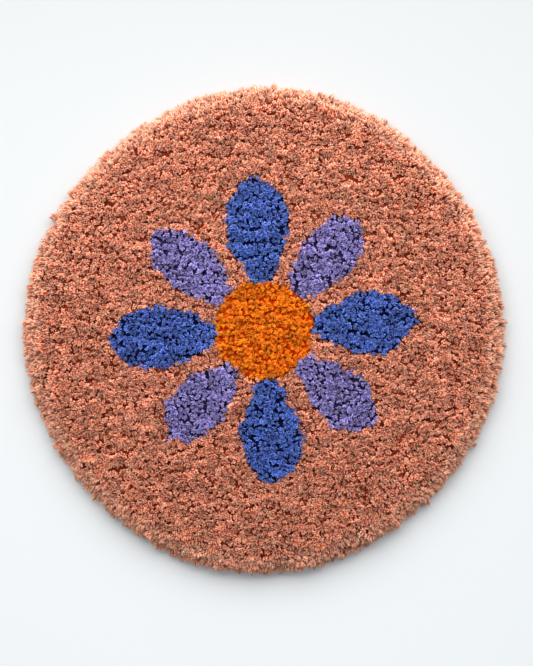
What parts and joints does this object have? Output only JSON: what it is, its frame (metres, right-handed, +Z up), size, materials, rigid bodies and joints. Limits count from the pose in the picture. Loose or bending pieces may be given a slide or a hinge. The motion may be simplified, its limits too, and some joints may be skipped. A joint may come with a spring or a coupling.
{
  "type": "round tufted rug",
  "caption": "Small round rug of thick cut wool pile on a flat cloth back, with uneven locks of yarn round its rim.",
  "frame": {"origin": "on the flat back, under the middle of the rug's outline", "axes": "+Z up out of the pile, +Y towards the top of the picture, +X to its right"},
  "size_m": [0.4004, 0.4042, 0.0192],
  "materials": {
    "ground_wool": "terracotta cut wool pile",
    "blue_wool": "deep blue cut wool pile",
    "violet_wool": "soft violet cut wool pile",
    "orange_wool": "bright orange cut wool pile",
    "back_cloth": "plain woven cloth back"
  },
  "bodies": {
    "root": {"tufted_rug": "ground_wool"}
  },
  "joints": []
}
